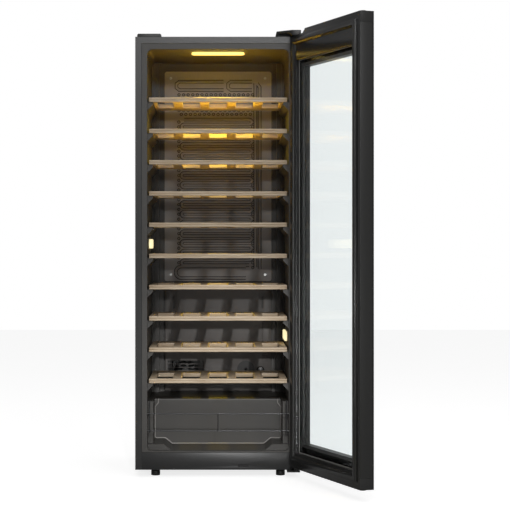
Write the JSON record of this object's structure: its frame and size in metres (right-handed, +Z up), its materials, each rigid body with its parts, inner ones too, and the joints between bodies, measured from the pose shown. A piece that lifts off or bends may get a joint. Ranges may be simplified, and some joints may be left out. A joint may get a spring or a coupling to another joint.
{
  "type": "wine cooler",
  "caption": "Tall free-standing wine cooler with a right-hung glazed door standing open, sliding slatted beech shelves, a lit cavity and a compressor bay behind a step in its floor.",
  "frame": {"origin": "on the floor under the middle of the cabinet's body, halfway between its front and rear faces and its two sides", "axes": "+Z up, +X towards the door's hinge side, -Y out of the front of the cabinet"},
  "size_m": [0.7427, 1.0541, 1.479],
  "materials": {
    "cabinet_steel": "satin",
    "bare_steel": "satin",
    "foam": "matte",
    "liner_plastic": "matte",
    "evaporator_aluminium": "matte",
    "grey_plastic": "matte",
    "black_plastic": "satin",
    "light_cover": "matte",
    "guard_wire": "gloss",
    "black_steel": "satin",
    "rubber": "matte",
    "copper": "satin",
    "door_plastic": "satin",
    "glass": "gloss",
    "spacer_aluminium": "satin",
    "gasket_rubber": "matte",
    "beech": "satin"
  },
  "bodies": {
    "cabinet": {"side_panels": "cabinet_steel", "top_panel": "cabinet_steel", "back_panel": "cabinet_steel", "base_plate": "cabinet_steel", "plinth_panel": "cabinet_steel", "bay_divider": "bare_steel", "foam_insulation": "foam", "inner_liner": "liner_plastic", "evaporator_plate": "evaporator_aluminium", "evaporator_screws": "bare_steel", "air_cover": "grey_plastic", "fan_frame": "black_plastic", "charcoal_filter": "black_plastic", "temperature_probe": "black_plastic", "ceiling_light": "light_cover", "side_lights": "light_cover", "bottle_guard": "guard_wire", "guard_sockets": "black_plastic", "compressor": "black_steel", "compressor_mounts": "rubber", "starter_box": "black_plastic", "condenser": "black_steel", "refrigerant_pipes": "copper", "filter_drier": "copper", "drain_tray": "black_plastic", "drain_hose": "rubber", "control_box": "grey_plastic", "machine_cover": "cabinet_steel", "cord_gland": "black_plastic", "top_hinge_bracket": "bare_steel", "top_hinge_cover": "black_plastic", "hinge_hole_cap": "black_plastic", "bottom_hinge_bracket": "bare_steel", "hinge_screws": "bare_steel"},
    "door": {"door_side_profiles": "door_plastic", "door_top_cap": "door_plastic", "door_bottom_cap": "door_plastic", "outer_glass": "glass", "inner_glass": "glass", "glass_spacers": "spacer_aluminium", "door_inner_frame": "door_plastic", "door_gasket": "gasket_rubber", "door_bushes": "grey_plastic", "touch_display": "black_plastic", "hinge_hole_plugs": "black_plastic"},
    "fan": {"fan_rotor": "black_plastic"},
    "shelf_01": {"shelf_01": "beech"},
    "shelf_02": {"shelf_02": "beech"},
    "shelf_03": {"shelf_03": "beech"},
    "shelf_04": {"shelf_04": "beech"},
    "shelf_05": {"shelf_05": "beech"},
    "shelf_06": {"shelf_06": "beech"},
    "shelf_07": {"shelf_07": "beech"},
    "shelf_08": {"shelf_08": "beech"},
    "shelf_09": {"shelf_09": "beech"},
    "shelf_10": {"shelf_10": "beech"},
    "foot_front_left": {"foot_front_left": "black_plastic"},
    "foot_front_right": {"foot_front_right": "black_plastic"},
    "foot_rear_left": {"foot_rear_left": "black_plastic"},
    "foot_rear_right": {"foot_rear_right": "black_plastic"}
  },
  "joints": [
    {"name": "door_hinge", "type": "hinge", "parent": "cabinet", "child": "door", "pos_m": [0.2585, -0.2862, 0], "axis": [0, 0, 1], "range_deg": [-110, 5]},
    {"name": "fan_spin", "type": "hinge", "parent": "cabinet", "child": "fan", "pos_m": [-0.116, 0.18, 0.314], "axis": [0, 1, 0], "continuous": true},
    {"name": "shelf_01_slide", "type": "slide", "parent": "cabinet", "child": "shelf_01", "axis": [0, -1, 0], "range_m": [0, 0.24]},
    {"name": "shelf_02_slide", "type": "slide", "parent": "cabinet", "child": "shelf_02", "axis": [0, -1, 0], "range_m": [0, 0.24]},
    {"name": "shelf_03_slide", "type": "slide", "parent": "cabinet", "child": "shelf_03", "axis": [0, -1, 0], "range_m": [0, 0.24]},
    {"name": "shelf_04_slide", "type": "slide", "parent": "cabinet", "child": "shelf_04", "axis": [0, -1, 0], "range_m": [0, 0.24]},
    {"name": "shelf_05_slide", "type": "slide", "parent": "cabinet", "child": "shelf_05", "axis": [0, -1, 0], "range_m": [0, 0.24]},
    {"name": "shelf_06_slide", "type": "slide", "parent": "cabinet", "child": "shelf_06", "axis": [0, -1, 0], "range_m": [0, 0.24]},
    {"name": "shelf_07_slide", "type": "slide", "parent": "cabinet", "child": "shelf_07", "axis": [0, -1, 0], "range_m": [0, 0.24]},
    {"name": "shelf_08_slide", "type": "slide", "parent": "cabinet", "child": "shelf_08", "axis": [0, -1, 0], "range_m": [0, 0.24]},
    {"name": "shelf_09_slide", "type": "slide", "parent": "cabinet", "child": "shelf_09", "axis": [0, -1, 0], "range_m": [0, 0.24]},
    {"name": "shelf_10_slide", "type": "slide", "parent": "cabinet", "child": "shelf_10", "axis": [0, -1, 0], "range_m": [0, 0.24]},
    {"name": "foot_front_left_turn", "type": "hinge", "parent": "cabinet", "child": "foot_front_left", "pos_m": [-0.209, -0.21, 0], "axis": [0, 0, 1], "continuous": true},
    {"name": "foot_front_right_turn", "type": "hinge", "parent": "cabinet", "child": "foot_front_right", "pos_m": [0.209, -0.21, 0], "axis": [0, 0, 1], "continuous": true},
    {"name": "foot_rear_left_turn", "type": "hinge", "parent": "cabinet", "child": "foot_rear_left", "pos_m": [-0.209, 0.215, 0], "axis": [0, 0, 1], "continuous": true},
    {"name": "foot_rear_right_turn", "type": "hinge", "parent": "cabinet", "child": "foot_rear_right", "pos_m": [0.209, 0.215, 0], "axis": [0, 0, 1], "continuous": true}
  ]
}
